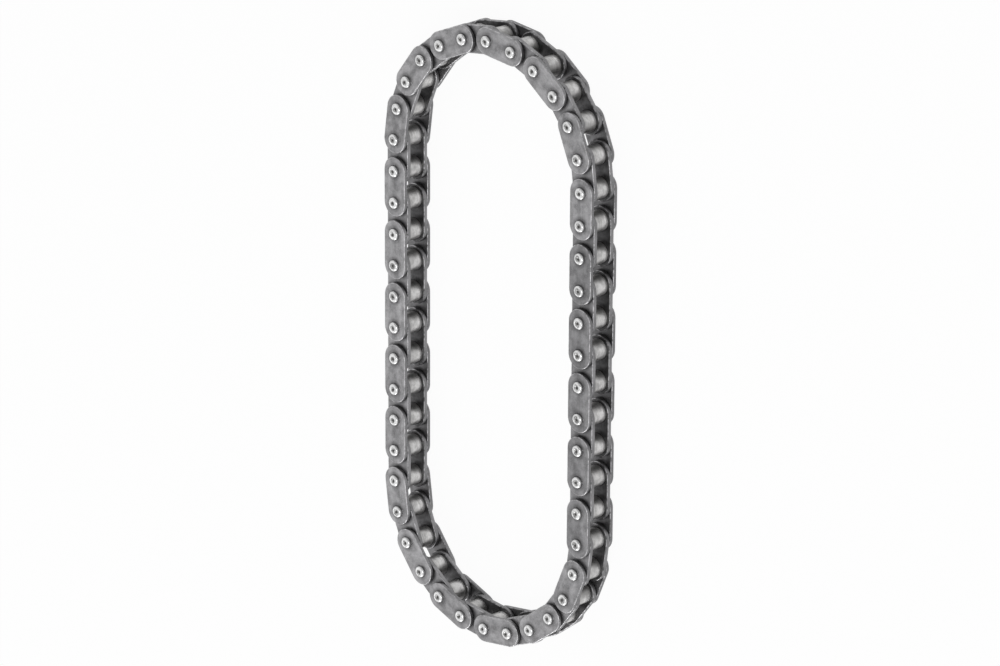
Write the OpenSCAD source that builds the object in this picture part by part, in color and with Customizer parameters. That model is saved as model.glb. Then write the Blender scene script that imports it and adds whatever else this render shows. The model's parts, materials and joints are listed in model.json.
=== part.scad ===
// Endless bush chain for driving an oil pump.
// Outer links, each two plates riveted on two pins, alternate with inner links,
// each two plates pressed on two bushes. A pin turns inside a bush at every pivot.
// The loop lies on its side: pins stand along Z, the long axis is Y,
// and the lower rivet heads rest on the plane Z = 0. Millimetres.

/* [Loop] */
// Distance between neighbouring pins
pitch = 8; // [7:0.25:12]
// Teeth of a sprocket that each round end of the loop would lie on
sprocket_teeth = 24; // [16:4:40]
// Links in each straight strand between the round ends
strand_links = 11; // [5:2:31]

/* [Plates] */
// Gap between the ends of neighbouring outer plates
outer_end_gap = 1.05; // [0.2:0.05:1.5]
// Gap between the ends of neighbouring inner plates
inner_end_gap = 1; // [0.2:0.05:1.5]
// Thickness of an outer plate
outer_plate_t = 1; // [0.7:0.05:2]
// Thickness of an inner plate
inner_plate_t = 1.1; // [0.7:0.05:2]
// Radius that rounds the stamped edges of a plate
plate_round = 0.25; // [0.05:0.05:0.3]

/* [Pins] */
// Diameter of a pin where it runs in its bush
pin_d = 2.5; // [2:0.1:3.2]
// How far a riveted head spreads past its pin, all round
head_spread = 0.15; // [0.05:0.05:0.5]
// How far a riveted head stands out of its plate
head_h = 0.75; // [0.4:0.05:1.2]
// Radius that rounds the rim of a riveted head
head_round = 0.35; // [0.05:0.05:0.35]
// Diameter of the punch dimple in a riveted head
dimple_d = 1.2; // [0.4:0.1:1.4]
// Depth of the punch dimple
dimple_depth = 0.3; // [0.1:0.05:0.5]

/* [Bushes] */
// Outside diameter of a bush, which a sprocket tooth bears on
bush_d = 5.2; // [4.2:0.1:5.8]
// Free width between the inner plates, which takes a sprocket
inner_w = 4.6; // [3:0.1:8]
// Length of the bevel at each end of a bush
bush_bevel = 0.15; // [0.05:0.05:0.3]

/* [Fits] */
// Running clearance between a pin and its bush, all round
pin_clearance = 0.05; // [0.02:0.01:0.1]
// How far the bush ends stand proud of the inner plates
bush_proud = 0.04; // [0:0.01:0.1]
// Side float between a bush end and the outer plate beside it
side_float = 0.06; // [0.03:0.01:0.2]
// Hairline between pieces that are pressed or riveted together
press_gap = 0.01; // [0.005:0.005:0.03]

/* [Hidden] */
$fn = 64;
// Straight steps that stand for a quarter turn of a rounded edge
round_steps = 4;
// How far a cutting tool runs past the faces that it opens
cut_over = 1;

// The loop: two half circles joined by two straight strands
arc_links = sprocket_teeth / 2;
half_links = arc_links + strand_links;
turn = 360 / sprocket_teeth;
pitch_r = pitch / (2 * sin(turn / 2));
arc_y = strand_links * pitch / 2;
strand_lead = (strand_links + 1) / 2;

// Sizes across the chain
outer_plate_w = pitch - outer_end_gap;
inner_plate_w = pitch - inner_end_gap;
head_d = pin_d + 2 * head_spread;
bush_bore = pin_d + 2 * pin_clearance;

// Heights above the middle plane of the chain
inner_plate_z = inner_w / 2;
bush_end_z = inner_plate_z + inner_plate_t + bush_proud;
outer_plate_z = bush_end_z + side_float;
head_z = outer_plate_z + outer_plate_t + press_gap;
pin_end_z = head_z + head_h;

function two_digits(n) = str(n < 10 ? "0" : "", n);
outer_names = [for (n = [1:half_links]) str("outer_link_", two_digits(n))];
inner_names = [for (n = [1:half_links]) str("inner_link_", two_digits(n))];

// Place of pin k. Pins 0 and 1 hold the link in the middle of the left strand,
// and the count runs clockwise. The loop is the same after half a turn.
function pin_at(k) =
    k >= half_links ? -pin_at(k - half_links) :
    k <= strand_lead ? [-pitch_r, (k - 1 / 2) * pitch] :
    k <= strand_lead + arc_links ?
        let (a = 180 - (k - strand_lead) * turn) [pitch_r * cos(a), arc_y + pitch_r * sin(a)] :
    [pitch_r, arc_y - (k - strand_lead - arc_links) * pitch];

// Direction in which link k leaves pin k
function heading(k) =
    let (step = pin_at((k + 1) % (2 * half_links)) - pin_at(k)) atan2(step.y, step.x);

// A quarter turn about c, from the angle that is given
function quarter(c, r, from) =
    [for (i = [0:round_steps]) let (a = from + 90 * i / round_steps) c + r * [cos(a), sin(a)]];

// Rounded edge of a plate, from its lower face to its upper face
function plate_edge(width, thickness) =
    let (x = width / 2 - plate_round)
    concat(
        quarter([x, plate_round], plate_round, -90),
        quarter([x, thickness - plate_round], plate_round, 0)
    );

// Plate with straight sides and round ends, over two pin places
module plate(width, thickness, hole_d) {
    edge = plate_edge(width, thickness);
    far_edge = [for (i = [len(edge) - 1:-1:0]) [-edge[i].x, edge[i].y]];
    round_end = concat([[0, 0]], edge, [[0, thickness]]);
    difference() {
        union() {
            rotate([90, 0, 90])
                linear_extrude(pitch)
                    polygon(concat(edge, far_edge));
            rotate([0, 0, 90])
                rotate_extrude(angle = 180)
                    polygon(round_end);
            translate([pitch, 0, 0])
                rotate([0, 0, -90])
                    rotate_extrude(angle = 180)
                        polygon(round_end);
        }
        for (x = [0, pitch])
            translate([x, 0, -cut_over])
                cylinder(d = hole_d, h = thickness + 2 * cut_over);
    }
}

// Two plates, one each side of the middle plane
module plate_pair(width, thickness, hole_d, inner_face_z) {
    for (z = [inner_face_z, -inner_face_z - thickness])
        translate([0, 0, z])
            plate(width, thickness, hole_d);
}

// Pin with a head riveted at each end and a punch dimple in each head
module pin() {
    rim = quarter([head_d / 2 - head_round, pin_end_z - head_round], head_round, 0);
    upper = concat(
        [[pin_d / 2, head_z], [head_d / 2, head_z]],
        rim,
        [[dimple_d / 2, pin_end_z], [0, pin_end_z - dimple_depth]]
    );
    lower = [for (i = [len(upper) - 1:-1:0]) [upper[i].x, -upper[i].y]];
    rotate_extrude()
        polygon(concat(lower, upper));
}

// Bush with bevelled ends and a running bore for the pin
module bush() {
    r = bush_d / 2;
    outline = [
        [0, -bush_end_z], [r - bush_bevel, -bush_end_z], [r, bush_bevel - bush_end_z],
        [r, bush_end_z - bush_bevel], [r - bush_bevel, bush_end_z], [0, bush_end_z]
    ];
    difference() {
        rotate_extrude()
            polygon(outline);
        translate([0, 0, -bush_end_z - cut_over])
            cylinder(d = bush_bore, h = 2 * (bush_end_z + cut_over));
    }
}

// Carries a link from its own frame to its place in the loop
module in_loop(k) {
    place = pin_at(k);
    translate([place.x, place.y, pin_end_z])
        rotate([0, 0, heading(k)])
            children();
}

// Outer link: two plates riveted on two pins
module outer_link(n) {
    in_loop(2 * n) {
        color("dimgray")
            plate_pair(outer_plate_w, outer_plate_t, pin_d + 2 * press_gap, outer_plate_z);
        color("silver")
            for (x = [0, pitch])
                translate([x, 0, 0])
                    pin();
    }
}

// Inner link: two plates pressed on two bushes
module inner_link(n) {
    in_loop(2 * n + 1) {
        color("slategray")
            plate_pair(inner_plate_w, inner_plate_t, bush_d + 2 * press_gap, inner_plate_z);
        color("gainsboro")
            for (x = [0, pitch])
                translate([x, 0, 0])
                    bush();
    }
}

for (n = [0:half_links - 1]) {
    outer_link(n);
    inner_link(n);
}
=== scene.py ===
# %% [markdown]
# # An endless bush chain for an oil pump
# The chain is made of links that take turns. An outer link is two plates riveted on two pins, and an
# inner link is two plates pressed on two bushes. The construction comes first: every link already
# stands in the frame at its real size. This lesson dresses those links with plates, pins and bushes
# that have rounded edges, punched rivet heads and the finish of tumbled, heat-treated steel.

# %% Load the frame
import json
import math

import bmesh
import bpy
from mathutils import Matrix, Vector

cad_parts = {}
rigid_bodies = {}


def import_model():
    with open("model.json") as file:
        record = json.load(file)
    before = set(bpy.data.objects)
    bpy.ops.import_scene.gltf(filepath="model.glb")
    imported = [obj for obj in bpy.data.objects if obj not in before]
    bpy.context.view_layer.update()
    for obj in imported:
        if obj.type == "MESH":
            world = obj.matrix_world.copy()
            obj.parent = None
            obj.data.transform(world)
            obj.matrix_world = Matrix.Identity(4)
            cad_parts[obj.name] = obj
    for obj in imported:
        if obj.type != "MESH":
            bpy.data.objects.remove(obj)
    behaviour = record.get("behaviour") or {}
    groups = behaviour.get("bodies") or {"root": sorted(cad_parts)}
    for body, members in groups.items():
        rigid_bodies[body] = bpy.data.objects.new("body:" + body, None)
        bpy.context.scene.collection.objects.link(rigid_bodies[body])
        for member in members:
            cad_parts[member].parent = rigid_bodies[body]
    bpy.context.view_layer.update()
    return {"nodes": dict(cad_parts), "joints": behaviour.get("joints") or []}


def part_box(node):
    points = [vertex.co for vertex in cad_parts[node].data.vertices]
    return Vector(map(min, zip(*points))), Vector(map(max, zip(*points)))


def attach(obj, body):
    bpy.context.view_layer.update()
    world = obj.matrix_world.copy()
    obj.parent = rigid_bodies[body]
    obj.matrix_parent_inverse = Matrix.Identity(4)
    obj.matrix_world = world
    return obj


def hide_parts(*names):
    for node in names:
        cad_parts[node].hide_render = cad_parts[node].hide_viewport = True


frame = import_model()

scene = bpy.context.scene
scene.view_settings.view_transform = "Standard"
print("links in the frame:", len(frame["nodes"]))

# %% [markdown]
# ## Sizes
# A chain is described by its pitch, the distance from pin to pin. The first outer link stands upright
# in the left strand, so its box gives the plate's width and the pitch without any measuring by hand.
# What a box can't show, such as a plate's thickness, is written down once in millimetres.

# %% Sizes in metres
MM = 0.001
outer_low, outer_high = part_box("outer_link_01")
inner_low, inner_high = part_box("inner_link_01")
outer_size = outer_high - outer_low
inner_size = inner_high - inner_low

outer_width = outer_size.x
inner_width = inner_size.x
pitch = outer_size.y - outer_size.x
half_height = outer_size.z / 2
bush_end = inner_size.z / 2

OUTER_THICKNESS = 1.0 * MM
INNER_THICKNESS = 1.1 * MM
HEAD_HEIGHT = 0.75 * MM
BUSH_PROUD = 0.04 * MM
HAIRLINE = 0.01 * MM

# Heights above the chain's middle plane: the foot of a head, and the plate faces that look inwards
head_base = half_height - HEAD_HEIGHT
outer_face = head_base - HAIRLINE - OUTER_THICKNESS
inner_face = bush_end - BUSH_PROUD - INNER_THICKNESS
print(f"pitch {pitch / MM:.2f} mm, plates {outer_width / MM:.2f} and {inner_width / MM:.2f} mm wide")

# %% [markdown]
# ## Where the links stand
# The frame knows every pivot, because each one is a joint between two neighbouring links. One pivot of
# the closed loop has no joint, since a tree of joints can't close on itself. The loop looks the same
# after half a turn, so the missing pivot lies straight across from its partner.

# %% Places of pins and links
link_total = len(frame["nodes"])
half_total = link_total // 2
pivots = {frozenset((j["parent"], j["child"])): Vector(j["pos_m"]) for j in frame["joints"]}


def link_name(number):
    """Name of a link, counted clockwise from the middle of the left strand."""
    number %= link_total
    kind = "inner" if number % 2 else "outer"
    return f"{kind}_link_{number // 2 + 1:02d}"


def pin_place(number):
    """Middle of the pin between a link and the one before it."""
    pair = frozenset((link_name(number - 1), link_name(number)))
    if pair in pivots:
        return pivots[pair]
    across = pin_place(number + half_total)
    return Vector((-across.x, -across.y, across.z))


def link_frame(number):
    """Matrix that carries a link from its own frame to its place in the loop."""
    start = pin_place(number)
    along = pin_place(number + 1) - start
    return Matrix.Translation(start) @ Matrix.Rotation(math.atan2(along.y, along.x), 4, "Z")


print("first pin at", [round(c / MM, 2) for c in pin_place(0)], "mm")

# %% [markdown]
# ## Turned pieces
# A pin and a bush are both turned on a lathe, so one helper spins a profile of radius and height round
# the pin's axis. A screw modifier would do the same, but points placed one by one keep the poles clean
# and let both pieces of a link share one mesh. Rounded corners are quarter circles of a few steps.

# %% Lathe helpers
ROUND_STEPS = 5


def quarter(centre, radius, start):
    """Quarter circle of (radius, height) points, turning left from a start angle in degrees."""
    angles = [math.radians(start + 90 * i / ROUND_STEPS) for i in range(ROUND_STEPS + 1)]
    return [(centre[0] + radius * math.cos(a), centre[1] + radius * math.sin(a)) for a in angles]


def spin(bm, profile, x, steps, closed):
    """Spins a profile round an upright axis at x. Points at radius 0 become poles."""
    angles = [2 * math.pi * i / steps for i in range(steps)]
    rings = []
    for radius, height in profile:
        if radius < HAIRLINE:
            rings.append([bm.verts.new((x, 0, height))])
            continue
        rings.append([bm.verts.new((x + radius * math.cos(a), radius * math.sin(a), height))
                      for a in angles])
    pairs = list(zip(rings, rings[1:]))
    if closed:
        pairs.append((rings[-1], rings[0]))
    for low, high in pairs:
        for i in range(steps):
            j = (i + 1) % steps
            corners = [low[i % len(low)], low[j % len(low)], high[j % len(high)], high[i % len(high)]]
            bm.faces.new(list(dict.fromkeys(corners)))


print("a rounded corner has", len(quarter((0, 0), 1, 0)), "points")

# %% From points to a mesh
SHARP_DEGREES = 50


def finish_mesh(bm, name):
    """Turns a bmesh into a smooth mesh that keeps its sharp corners."""
    bmesh.ops.recalc_face_normals(bm, faces=bm.faces)
    mesh = bpy.data.meshes.new(name)
    bm.to_mesh(mesh)
    bm.free()
    mesh.polygons.foreach_set("use_smooth", [True] * len(mesh.polygons))
    mesh.set_sharp_from_angle(angle=math.radians(SHARP_DEGREES))
    print(name, "has", len(mesh.polygons), "faces")
    return mesh


def turned_pair(name, profile, steps, closed):
    """Mesh of two equal turned pieces, one at each pin's place of a link."""
    bm = bmesh.new()
    for x in (0, pitch):
        spin(bm, profile, x, steps, closed)
    return finish_mesh(bm, name)


print("corners above", SHARP_DEGREES, "degrees stay sharp")

# %% [markdown]
# ## Pins
# Each end of a pin is spread over its plate by a riveting tool. That leaves a low head with a domed
# rim and a dimple where the tool's point sat: a shallow dish with a small pit in its middle. A cone cut
# out of a cylinder would give the dimple, but one profile also gives the small lip round it, which
# catches the light. The rim is a quarter circle that is stretched inwards, so that it rolls over.

# %% Pin mesh
PIN_STEPS = 40
PIN_RADIUS = 1.25 * MM
HEAD_RADIUS = 1.4 * MM
HEAD_ROUND = 0.35 * MM
DOME = 1.6 * HEAD_ROUND
CROWN = 0.03 * MM
DIMPLE_RADIUS = 0.6 * MM
DIMPLE_DEPTH = 0.3 * MM
LIP = 0.08 * MM


def pin_profile():
    """Radius and height of a pin, from its lower end to its upper end."""
    top = half_height
    shoulder = top - CROWN - HEAD_ROUND
    upper = [(PIN_RADIUS, head_base), (HEAD_RADIUS, head_base)]
    rim = quarter((0, 0), 1, 0)
    upper += [(HEAD_RADIUS - DOME + DOME * out, shoulder + HEAD_ROUND * rise) for out, rise in rim]
    upper += [(DIMPLE_RADIUS + 2 * LIP, top - CROWN / 3), (DIMPLE_RADIUS + LIP, top)]
    upper += [(DIMPLE_RADIUS, top - LIP / 3), (DIMPLE_RADIUS - LIP, top - 0.25 * DIMPLE_DEPTH)]
    upper += [(DIMPLE_RADIUS / 3, top - 0.5 * DIMPLE_DEPTH), (0, top - DIMPLE_DEPTH)]
    lower = [(r, -h) for r, h in reversed(upper)]
    return lower + upper


pin_pair = turned_pair("pin_pair", pin_profile(), PIN_STEPS, closed=False)

# %% [markdown]
# ## Bushes
# A bush is a short tube, pressed through both inner plates with its ends a hair proud. A sprocket's
# teeth bear on its outside and a pin turns in its bore, so the bore is real even though the pin hides
# it. A cylinder with a hole cut in it would do, but a profile that is closed on itself gives the wall
# and its bevels at once.

# %% Bush mesh
BUSH_STEPS = 56
BUSH_RADIUS = 2.6 * MM
BUSH_BORE_RADIUS = 1.3 * MM
BUSH_BEVEL = 0.15 * MM


def bush_profile():
    """Radius and height round the wall of a bush."""
    r, end, bevel = BUSH_RADIUS, bush_end, BUSH_BEVEL
    outside = quarter((r - bevel, bevel - end), bevel, -90) + quarter((r - bevel, end - bevel), bevel, 0)
    bore = [(BUSH_BORE_RADIUS, end), (BUSH_BORE_RADIUS, -end)]
    return outside + bore


bush_pair = turned_pair("bush_pair", bush_profile(), BUSH_STEPS, closed=True)

# %% [markdown]
# ## Plates
# A plate is stamped from strip and tumbled, so its outline has straight sides, round ends and soft
# edges. Bevelling a boxy solid would do, but a stack of outlines is easier to control: each ring is
# the same outline, drawn in a little and lifted a little, so that the rings walk round the edge. The
# flat faces are filled between the last ring and the two holes.

# %% Outlines and rings
END_STEPS = 24
HOLE_STEPS = 40


def plate_outline(width, inset):
    """Outline of a plate drawn in by an inset, going left round from the far end's foot."""
    radius = width / 2 - inset
    turns = [math.radians(-90 + 180 * i / END_STEPS) for i in range(END_STEPS + 1)]
    far = [(pitch + radius * math.cos(a), radius * math.sin(a)) for a in turns]
    near = [(-radius * math.cos(a), -radius * math.sin(a)) for a in turns]
    return far + near


def circle(x, radius):
    """Outline of a hole round a pin's place."""
    turns = [2 * math.pi * i / HOLE_STEPS for i in range(HOLE_STEPS)]
    return [(x + radius * math.cos(a), radius * math.sin(a)) for a in turns]


def ring(bm, points, height):
    """Closed ring of vertices at one height."""
    return [bm.verts.new((x, y, height)) for x, y in points]


def wall(bm, low, high):
    """Joins two rings of as many vertices with faces."""
    for i in range(len(low)):
        j = (i + 1) % len(low)
        bm.faces.new((low[i], low[j], high[j], high[i]))


def ring_edges(bm, loop):
    """Edges along a ring, made where they are missing."""
    found = []
    for i in range(len(loop)):
        pair = (loop[i], loop[(i + 1) % len(loop)])
        found.append(bm.edges.get(pair) or bm.edges.new(pair))
    return found


print("a plate's outline has", len(plate_outline(outer_width, 0)), "points")

# %% Plate mesh
PLATE_ROUND = 0.25 * MM
FACE_MARGIN = 0.12 * MM


def plate(bm, width, thickness, base, hole_radius):
    """One plate with its lower face at a base height."""
    lower = quarter((PLATE_ROUND, PLATE_ROUND), PLATE_ROUND, 180)
    steps = [(PLATE_ROUND + FACE_MARGIN, 0)] + [(i, h) for i, h in reversed(lower)]
    steps += [(i, thickness - h) for i, h in reversed(steps)]
    rings = [ring(bm, plate_outline(width, inset), base + height) for inset, height in steps]
    for low, high in zip(rings, rings[1:]):
        wall(bm, low, high)
    holes = []
    for x in (0, pitch):
        low = ring(bm, circle(x, hole_radius), base)
        high = ring(bm, circle(x, hole_radius), base + thickness)
        wall(bm, low, high)
        holes.append((low, high))
    for side, edge_ring in ((0, rings[0]), (1, rings[-1])):
        edges = ring_edges(bm, edge_ring)
        for hole in holes:
            edges += ring_edges(bm, hole[side])
        bmesh.ops.triangle_fill(bm, edges=edges, use_beauty=True)


def plate_pair(name, width, thickness, face, hole_radius):
    """Two plates, one each side of the chain's middle plane."""
    bm = bmesh.new()
    for base in (face, -face - thickness):
        plate(bm, width, thickness, base, hole_radius)
    return finish_mesh(bm, name)


pin_hole = PIN_RADIUS + HAIRLINE
bush_hole = BUSH_RADIUS + HAIRLINE
outer_pair = plate_pair("outer_plate_pair", outer_width, OUTER_THICKNESS, outer_face, pin_hole)
inner_pair = plate_pair("inner_plate_pair", inner_width, INNER_THICKNESS, inner_face, bush_hole)

# %% [markdown]
# ## Writing a finish as sums
# A shader is a graph of nodes, and it could be drawn in the shader editor. Most of what a finish needs
# is arithmetic, though, and a sum is quicker to read than its links. The class below wraps a socket, so
# that `1 - mask` or `tone * wear` adds the Math nodes by itself. Every other node comes from its one
# `node` method: the type, the settings that are set first, then the sockets.

# %% Sockets with arithmetic
class Wire:
    """An output socket of a shader tree, which sums and products can be written with."""

    def __init__(self, tree, socket=None):
        self.tree = tree
        self.socket = socket

    def node(self, kind, settings=None, sockets=None, out=0):
        """Adds a node, gives it its settings and then its sockets, and returns one output."""
        made = self.tree.nodes.new(kind)
        for key, value in (settings or {}).items():
            setattr(made, key, value)
        for key, value in (sockets or {}).items():
            entry = self.find(made.inputs, key)
            if isinstance(value, Wire):
                self.tree.links.new(value.socket, entry)
            else:
                entry.default_value = value
        return Wire(self.tree, self.find(made.outputs, out))

    @staticmethod
    def find(sockets, key):
        """A socket by number, or by its identifier or name."""
        if isinstance(key, int):
            return sockets[key]
        named = [s for s in sockets if s.identifier == key]
        return named[0] if named else sockets[key]

    def feed(self, node_name, socket_name):
        """Links this wire to a node that the tree already has."""
        self.tree.links.new(self.socket, self.tree.nodes[node_name].inputs[socket_name])

    def math(self, operation, *values):
        """A Math node on these values."""
        return self.node("ShaderNodeMath", {"operation": operation}, dict(enumerate(values)))

    def __add__(self, other):
        return self.math("ADD", self, other)

    __radd__ = __add__

    def __sub__(self, other):
        return self.math("SUBTRACT", self, other)

    def __rsub__(self, other):
        return self.math("SUBTRACT", other, self)

    def __mul__(self, other):
        return self.math("MULTIPLY", self, other)

    __rmul__ = __mul__

    def __truediv__(self, other):
        return self.math("DIVIDE", self, other)

    def __rtruediv__(self, other):
        return self.math("DIVIDE", other, self)

    def __abs__(self):
        return self.math("ABSOLUTE", self)

    def lesser(self, other):
        """The smaller of two values."""
        return self.math("MINIMUM", self, other)

    def greater(self, other):
        """The larger of two values."""
        return self.math("MAXIMUM", self, other)

    def ramp(self, low, high):
        """Rises smoothly from 0 at low to 1 at high. With low above high it falls."""
        sockets = {"Value": self, "From Min": low, "From Max": high}
        return self.node("ShaderNodeMapRange", {"interpolation_type": "SMOOTHSTEP"}, sockets)

    def mix(self, first, second):
        """Colour that goes from the first to the second as this wire goes from 0 to 1."""
        sockets = {"Factor_Float": self, "A_Color": first, "B_Color": second}
        return self.node("ShaderNodeMix", {"data_type": "RGBA"}, sockets, "Result_Color")

    def axis(self, letter):
        """One of the numbers X, Y and Z of a vector."""
        return self.node("ShaderNodeSeparateXYZ", None, {0: self}, letter)

    def noise(self, scale, detail=3, stretch=(1, 1, 1)):
        """Cloudy noise over a place in millimetres, from 0 to 1."""
        place = self.node("ShaderNodeVectorMath", {"operation": "MULTIPLY"}, {0: self, 1: stretch})
        sockets = {"Vector": place, "Scale": scale, "Detail": detail, "Roughness": 0.6}
        return self.node("ShaderNodeTexNoise", None, sockets, "Fac")


print("made a class for wires:", Wire.__doc__)

# %% [markdown]
# ## Where a point lies on its link
# Wear follows the shape: plates rub at their edges, and dirt and painted shadow lie round the rivets.
# Each piece keeps its own frame, with the first pin at the origin and the second one a pitch away, so
# the distance to a pin or to the plate's edge is a short sum on the object's coordinates. It needs no
# painted map and it moves with the link. A random number per piece shifts the noise, so that no two
# links are alike.

# %% A new finish and its measures
BUMP_STRENGTH = 0.5
NOISE_SHIFT = (300, 170)


def begin(owner):
    """Turns on the nodes of a material or a world, and gives a wire to start from."""
    owner.use_nodes = True
    return Wire(owner.node_tree)


class Finish:
    """A material with the measures of a link, in millimetres."""

    def __init__(self, name):
        self.material = bpy.data.materials.new(name)
        start = begin(self.material)
        local = start.node("ShaderNodeTexCoord", out="Object")
        sockets = {0: local, "Scale": 1 / MM}
        place = start.node("ShaderNodeVectorMath", {"operation": "SCALE"}, sockets, "Vector")
        self.x, self.y, self.z = (place.axis(letter) for letter in "XYZ")
        self.upright = abs(start.node("ShaderNodeNewGeometry", out="Normal").axis("Z"))
        self.piece = start.node("ShaderNodeObjectInfo", out="Random")
        colour = start.node("ShaderNodeObjectInfo", out="Color")
        # Red of the object colour: 1 on the run that gets painted shade
        self.shaded = start.node("ShaderNodeSeparateColor", None, {0: colour}, "Red")
        sockets = {i: self.piece * shift for i, shift in enumerate(NOISE_SHIFT)}
        away = start.node("ShaderNodeCombineXYZ", None, sockets)
        self.own = start.node("ShaderNodeVectorMath", {"operation": "ADD"}, {0: place, 1: away})
        self.from_pin = self.length(self.x, self.y).lesser(self.length(self.x - pitch / MM, self.y))

    @staticmethod
    def length(x, y):
        """Length of a flat vector."""
        return x.math("SQRT", x * x + y * y)

    def from_edge(self, width):
        """How far a point of a plate lies inside its outline."""
        past = (self.x - pitch / MM).greater(0 - self.x).greater(0.0)
        return width / 2 / MM - self.length(past, self.y)

    def patches(self, low, high, **grain):
        """Soft patches of noise, whose borders are sharper the nearer low and high are."""
        return self.own.noise(**grain).ramp(low, high)

    def wear(self, base, roughness, bump, bump_depth, metallic=1.0):
        """Links what changes over the surface, and sets what doesn't."""
        sockets = {"Height": bump, "Strength": BUMP_STRENGTH, "Distance": bump_depth}
        normal = bump.node("ShaderNodeBump", None, sockets)
        for wire, socket_name in ((base, "Base Color"), (roughness, "Roughness"), (normal, "Normal")):
            wire.feed("Principled BSDF", socket_name)
        nodes = self.material.node_tree.nodes
        nodes["Principled BSDF"].inputs["Metallic"].default_value = metallic
        print(self.material.name, "has", len(nodes), "nodes")
        return self.material


print("a finish takes a link's pins to be", round(pitch / MM, 2), "mm apart")

# %% [markdown]
# ## Heat-treated plates
# The plates are heat-treated and tumbled, which leaves a dark satin skin. Tumbling wears the skin thin
# along the edges, and the sheared sides have a tone of their own. Old oil and a painted contact shadow
# darken a ring round every rivet, dirt and a painted shadow darken the corner under the next plate, and
# painted shade darkens the faces that look into the chain and one run of the chain as a whole. A darker
# band runs from pin to pin.
# A flat grey would look like plastic, so noise of several scales breaks it up: slow clouds, streaks
# along the plate, fine grain, smudges and short scratches.

# %% Greys of steel, oil, dirt and painted shade
def grey(level, warmth=0.0):
    """A grey, a little warmer as the warmth grows."""
    return (level * (1 + warmth), level, level * (1 - warmth), 1)


def steel(level):
    """Grey with the faint violet of heat-treated steel."""
    return (level, 0.99 * level, 1.012 * level, 1)


BARE_STEEL = steel(0.7)
SCRATCHED_STEEL = steel(0.45)
# Smudges, and painted shade on the faces that look into the chain
SMUDGE_AND_SHADE = steel(0.06)
# Painted shade over one run of the chain
RUN_SHADE = steel(0.05)
# Dirt with painted shadow beside the part that covers a plate
DIRT_AND_SHADOW = steel(0.04)
# Old oil with painted contact shadow round each hole
OIL_AND_SHADOW = steel(0.03)
print("bare steel is", BARE_STEEL, "and old oil is", OIL_AND_SHADOW)

# %% Plate finish
def plate_finish(name, width, face_level, side_level, ring_radius, cover_radius, cover_shadow_share, inside):
    """Satin steel plate, dark on its faces and worn along its edges."""
    finish = Finish(name)
    # The bare skin
    clouds = finish.patches(0.3, 0.7, scale=0.4)
    streaks = finish.patches(0.3, 0.7, scale=0.8, stretch=(0.3, 1, 1))
    grain = finish.patches(0.25, 0.75, scale=5)
    shade = finish.piece * 0.12 + clouds * 0.4 + streaks * 0.2 + grain * 0.28
    skin = shade.mix(steel(0.4 * face_level), steel(1.6 * face_level))
    # Painted shade over one whole run, smudges, a darker band between the pins, and scratches
    skin = (finish.shaded * 0.26).mix(skin, RUN_SHADE)
    smudges = finish.patches(0.58, 0.72, scale=1.1)
    # A darker band along the line from pin to pin
    middle_band = abs(finish.y).ramp(1.5, 0.3) * (finish.patches(0.3, 0.6, scale=0.5, detail=2) * 0.5 + 0.5)
    skin = (smudges * 0.13).greater(middle_band * 0.15).mix(skin, SMUDGE_AND_SHADE)
    scratches = finish.patches(0.62, 0.78, scale=2.0, detail=2, stretch=(0.25, 4, 1))
    skin = (scratches * 0.1).mix(skin, SCRATCHED_STEEL)
    # Sheared sides, and painted shade on the faces that look into the chain
    side = finish.upright.ramp(0.7, 0.2)
    shear = finish.patches(0.3, 0.7, scale=1.2, stretch=(5, 5, 0.7)) * 0.4 + 0.5
    skin = (side * shear).mix(skin, steel(side_level))
    recess_shade = abs(finish.z).ramp(inside / MM + 0.3, inside / MM + 0.1)
    skin = (recess_shade * 0.48).mix(skin, SMUDGE_AND_SHADE)
    # Dirt and painted shadow by the covering piece; old oil and painted contact shadow round the hole
    cover_shadow = finish.from_pin.ramp(cover_radius / MM + 1.0, cover_radius / MM) * (1 - side * 0.5)
    darkening = finish.patches(0.35, 0.6, scale=1.6, detail=4) * 0.6 + 0.4
    skin = (cover_shadow * darkening * cover_shadow_share).mix(skin, DIRT_AND_SHADOW)
    oil_and_shadow = finish.from_pin.ramp(ring_radius / MM + 0.3, ring_radius / MM + 0.1)
    skin = (oil_and_shadow * 0.5).mix(skin, OIL_AND_SHADOW)
    # The worn edge of the face
    worn = finish.patches(0.36, 0.62, scale=0.9)
    rim = finish.from_edge(width).ramp(0.3, 0.14) * (1 - side) * worn
    skin = (rim * 0.75).mix(skin, BARE_STEEL)
    roughness = 0.36 + clouds * 0.08 + grain * 0.1 - rim * 0.08 + oil_and_shadow * 0.1
    return finish.wear(skin, roughness, grain + scratches * 0.4, bump_depth=0.01 * MM)


outer_finish = plate_finish(
    "blackened_outer_plate", outer_width, face_level=0.355, side_level=0.17,
    ring_radius=HEAD_RADIUS, cover_radius=1.2 * HEAD_RADIUS, cover_shadow_share=0.5, inside=outer_face)
inner_finish = plate_finish(
    "blackened_inner_plate", inner_width, face_level=0.31, side_level=0.27,
    ring_radius=BUSH_RADIUS, cover_radius=outer_width / 2, cover_shadow_share=0.6, inside=inner_face)

# %% [markdown]
# ## Bright rivet heads
# Riveting polishes the head, so it is the brightest steel on the chain. The tool leaves faint rings,
# dull marks and low lumps. A stain round the dimple reaches further on some heads than on others.
# Painted shade darkens the dimple, and a painted shadow lies in the corner where the head meets its
# plate. A picture could be wrapped round each head, but all of this follows the distance from the
# pin's axis, so sums and noise will do.

# %% Pin finish
DULL_MARK = grey(0.4, 0.02)
STAIN = grey(0.16, 0.01)
# Painted shade in the dimple and painted shadow at the foot of the head
DIMPLE_AND_FOOT_SHADE = grey(0.09, 0.03)


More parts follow.
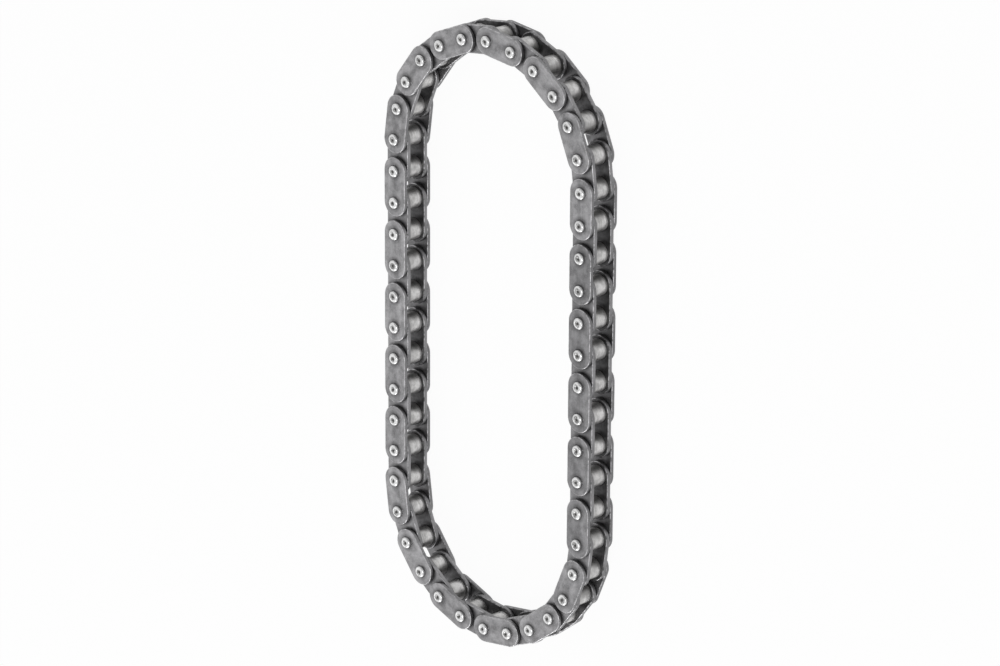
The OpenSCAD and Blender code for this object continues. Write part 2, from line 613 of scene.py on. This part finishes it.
def pin_finish():
    """Polished steel with turning rings, dull marks and a dark dimple."""
    finish = Finish("polished_pin")
    grain = finish.own.noise(scale=7)
    turns = finish.from_pin * 36 + grain * 3
    rings = turns.math("SINE", turns) * 0.5 + 0.5
    bright = (grain * 0.6 + rings * 0.2).mix(grey(0.82), grey(1.0))
    marks = finish.patches(0.55, 0.7, scale=1.5, detail=2)
    bright = (marks * 0.4).mix(bright, DULL_MARK)
    # The stain reaches further on some heads, and on the run that is painted darker
    spread = finish.patches(0.35, 0.65, scale=0.35, detail=1) * 0.5 + finish.shaded * 0.15 + 0.9
    reach = DIMPLE_RADIUS / MM * spread
    blotches = finish.patches(0.25, 0.6, scale=1.6, detail=2)
    stain = (finish.from_pin / reach).ramp(1.25, 0.85) * blotches
    bright = (stain * 0.85).mix(bright, STAIN)
    # Painted shade in the dimple and a painted shadow at the foot of the head
    dimple = (finish.from_pin + grain * 0.2).ramp(0.58, 0.33)
    foot = (abs(finish.z) - head_base / MM).ramp(0.1, 0.0)
    darkening = (dimple * 0.95).greater(foot * 0.3)
    base = darkening.mix(bright, DIMPLE_AND_FOOT_SHADE)
    lumps = finish.own.noise(scale=1.1, detail=2)
    roughness = 0.2 + grain * 0.16 + darkening * 0.3
    bump = rings * 0.1 + grain * 0.1 + marks * 0.2 + lumps
    return finish.wear(base, roughness, bump, bump_depth=0.08 * MM)


pin_material = pin_finish()

# %% [markdown]
# ## Ground bushes
# A bush is ground to size, so fine lines circle it. An anisotropic shader would give that sheen, but
# noise that is stretched round the bush and squeezed along it draws the lines themselves. Painted shade
# darkens the sides that face along the chain and the end by the upper plate, and a painted highlight
# brightens the end by the lower plate.

# %% Bush finish
DARK_METAL = grey(0.3, 0.01)
# Bright end of the bush's tone, which also carries the painted highlight at the lower end
BRIGHT_METAL = grey(0.92, 0.01)
# Painted shade on the bush
BUSH_SHADE = grey(0.13, 0.03)


def bush_finish():
    """Ground steel tube with fine lines round it."""
    finish = Finish("ground_bush")
    half_pitch = pitch / MM / 2
    plate_at = inner_face / MM
    radius = BUSH_RADIUS / MM
    lines = finish.patches(0.25, 0.75, scale=1.0, detail=4, stretch=(0.3, 0.3, 7))
    clouds = finish.patches(0.25, 0.75, scale=0.8)
    # Painted highlight: the end by the lower plate is brighter
    lower_end_highlight = finish.z.ramp(-0.3 * plate_at, -plate_at)
    tone = lines * 0.45 + clouds * 0.45 + finish.piece * 0.1 + lower_end_highlight * 0.6
    metal = tone.mix(DARK_METAL, BRIGHT_METAL)
    # How far a point lies from the pin's axis along the chain
    along = abs(abs(finish.x - half_pitch) - half_pitch).ramp(0.2 * radius, radius)
    # Painted shade on the sides that face along the chain, growing towards the end by the upper plate
    painted_shade = (finish.z.ramp(-0.5 * plate_at, plate_at) * 0.5).greater(along)
    base = (painted_shade * 0.68).mix(metal, BUSH_SHADE)
    roughness = 0.28 + lines * 0.14 + painted_shade * 0.12
    return finish.wear(base, roughness, lines, bump_depth=0.004 * MM, metallic=0.75)


bush_material = bush_finish()

# %% [markdown]
# ## Putting the pieces on their links
# All links of a kind share two meshes, which keeps the file small and every link alike, as stamped
# parts are. Each piece is placed by its link's matrix, rides on that link's body and stands for the
# link's plain solid. The right run of the chain is painted a little darker, as shade: a link that lies
# near the middle of that run carries a 1 in the red of its object colour, which the finishes read.

# %% Pieces on every link
SHADED_RUN_MIDDLE = Vector((30 * MM, -4 * MM))
SHADED_RUN_REACH = 40 * MM


def in_shaded_run(number):
    """Whether a link lies in the run that is painted darker, as shade."""
    middle = (pin_place(number) + pin_place(number + 1)) / 2
    return (middle.xy - SHADED_RUN_MIDDLE).length < SHADED_RUN_REACH


def add_piece(name, mesh, material, number):
    """One piece on a link: placed, riding on the link and standing for its solid."""
    body = link_name(number)
    if material.name not in mesh.materials:
        mesh.materials.append(material)
    piece = bpy.data.objects.new(name, mesh)
    scene.collection.objects.link(piece)
    piece.matrix_world = link_frame(number)
    # The red of the object colour marks the run that gets painted shade
    piece.color = (float(in_shaded_run(number)), 0, 0, 1)
    piece.modifiers.new("even_normals", "WEIGHTED_NORMAL").keep_sharp = True
    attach(piece, body)
    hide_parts(body)


for number in range(link_total):
    label = f"{number // 2 + 1:02d}"
    if number % 2:
        add_piece(f"inner_plates_{label}", inner_pair, inner_finish, number)
        add_piece(f"bushes_{label}", bush_pair, bush_material, number)
    else:
        add_piece(f"outer_plates_{label}", outer_pair, outer_finish, number)
        add_piece(f"pins_{label}", pin_pair, pin_material, number)
shaded_total = sum(in_shaded_run(number) for number in range(link_total))
print("pieces on the chain:", 2 * link_total, "on", link_total, "links,", shaded_total, "of them oiled")

# %% [markdown]
# ## White floor
# The photograph is a product shot on plain white, with no hard shadow. More light on the chain would
# also whiten the floor, but it would burn out the steel. So the floor is plain white to the camera, to
# reflections and through glass, and a small share of ordinary pale surface keeps a faint shadow.

# %% Floor finish
SHADOW_SHARE = 0.05
WHITE = grey(1.0)
PALE = grey(0.9)


def seen_directly(start):
    """1 for rays from the camera, from reflections and through glass, else 0."""
    camera, glossy, through = (start.node("ShaderNodeLightPath", out=f"Is {kind} Ray")
                               for kind in ("Camera", "Glossy", "Transmission"))
    return camera.greater(glossy).greater(through)


floor_material = bpy.data.materials.new("white_floor")
start = begin(floor_material)
plain = start.node("ShaderNodeBsdfDiffuse", None, {"Color": PALE})
glow = start.node("ShaderNodeEmission", None, {"Color": WHITE, "Strength": 1.0})
share = seen_directly(start) * (1 - SHADOW_SHARE)
surface = start.node("ShaderNodeMixShader", None, {0: share, 1: plain, 2: glow})
surface.feed("Material Output", "Surface")
print("share of the floor that takes shadow:", SHADOW_SHARE)

# %% Floor
FLOOR_REACH = 3.0

floor_mesh = bpy.data.meshes.new("floor")
corners = [(x * FLOOR_REACH, y * FLOOR_REACH, 0) for x, y in ((-1, -1), (1, -1), (1, 1), (-1, 1))]
floor_mesh.from_pydata(corners, [], [(0, 1, 2, 3)])
floor_mesh.materials.append(floor_material)
floor = bpy.data.objects.new("floor", floor_mesh)
scene.collection.objects.link(floor)
print("floor reaches", FLOOR_REACH, "m each way")

# %% [markdown]
# ## A pale room
# Steel shows what stands around it, so the room matters more than any one lamp. A picture of a studio
# could light it, but a few sums on the direction are enough. The room is brighter above than near the
# floor, which shades the rounded edges, and darker in the corner behind the camera, which gives bushes
# and heads a dark side. Low down stands a white backdrop, for the same rays as the white of the floor.

# %% Room
ROOM_HIGH = 0.8
ROOM_LOW = 0.42
ROOM_CORNER = 0.3
BACKDROP_TOP = 0.1

world = bpy.data.worlds.new("white_room")
scene.world = world
start = begin(world)
direction = start.node("ShaderNodeTexCoord", out="Generated")
x, y, z = (direction.axis(letter) for letter in "XYZ")
height = z.ramp(0.05, 0.6)
paint = height.mix(grey(ROOM_LOW), grey(ROOM_HIGH))
paint = (height * (x + y).ramp(0.1, 0.6)).mix(paint, grey(ROOM_CORNER))
room = start.node("ShaderNodeBackground", None, {"Color": paint, "Strength": 1.0})
backdrop = start.node("ShaderNodeBackground", None, {"Color": WHITE, "Strength": 1.0})
share = seen_directly(start) * z.ramp(2 * BACKDROP_TOP, BACKDROP_TOP)
shown = start.node("ShaderNodeMixShader", None, {0: share, 1: room, 2: backdrop})
shown.feed("World Output", "Surface")
print("room from", ROOM_LOW, "to", ROOM_HIGH)

# %% [markdown]
# ## Soft lamps
# Three square lamps stand for soft boxes. Spot lamps would also light the chain, but their small
# sparks on steel look harsh. The lamps at the front and at the side draw the bright parts of heads,
# bushes and plate edges, and a weak one at the left lifts the left strand. With the room they light the
# chain at a plain level, where a middle grey looks middle grey.

# %% Lamps
def soft_box(name, place, size, power):
    """A square lamp that shines at the chain."""
    data = bpy.data.lights.new(name, "AREA")
    data.size = size
    data.energy = power
    lamp = bpy.data.objects.new(name, data)
    lamp.location = place
    lamp.rotation_euler = (-Vector(place)).to_track_quat("-Z", "Y").to_euler()
    scene.collection.objects.link(lamp)
    print(name, "of", power, "W")


soft_box("left_lamp", place=(-0.5, -0.28, 0.3), size=0.25, power=0.12)
soft_box("front_lamp", place=(-0.1, -0.75, 0.36), size=0.3, power=1.4)
soft_box("side_lamp", place=(0.55, -0.1, 0.9), size=0.35, power=2.0)

# %% [markdown]
# ## Camera
# The photograph looks down on the lying chain from one side, with a long lens, and is turned so that
# the loop's long axis is upright in the picture. A constraint could aim the camera, but a matrix also
# sets its roll: the camera aims at a point near the loop's middle and takes the chain's long axis as
# its up direction.

# %% Camera
LENS = 173.8
SENSOR = 36.0
CLIP_END = 20
CAMERA_AT = Vector((0.7569, 0.3838, 0.79885))
AIM = Vector((0.0055, 0.0036, 0.01035))
ROLL = math.radians(0.3)

camera_data = bpy.data.cameras.new("camera")
camera_data.lens = LENS
camera_data.sensor_width = SENSOR
camera_data.clip_end = CLIP_END
camera = bpy.data.objects.new("camera", camera_data)
back = (CAMERA_AT - AIM).normalized()
right = Vector((0, 1, 0)).cross(back).normalized()
up = back.cross(right)
turned = Matrix((right, up, back)).transposed() @ Matrix.Rotation(ROLL, 3, "Z")
camera.matrix_world = Matrix.Translation(CAMERA_AT) @ turned.to_4x4()
scene.collection.objects.link(camera)
scene.camera = camera
print("camera is", round((CAMERA_AT - AIM).length, 3), "m from the chain")

# %% [markdown]
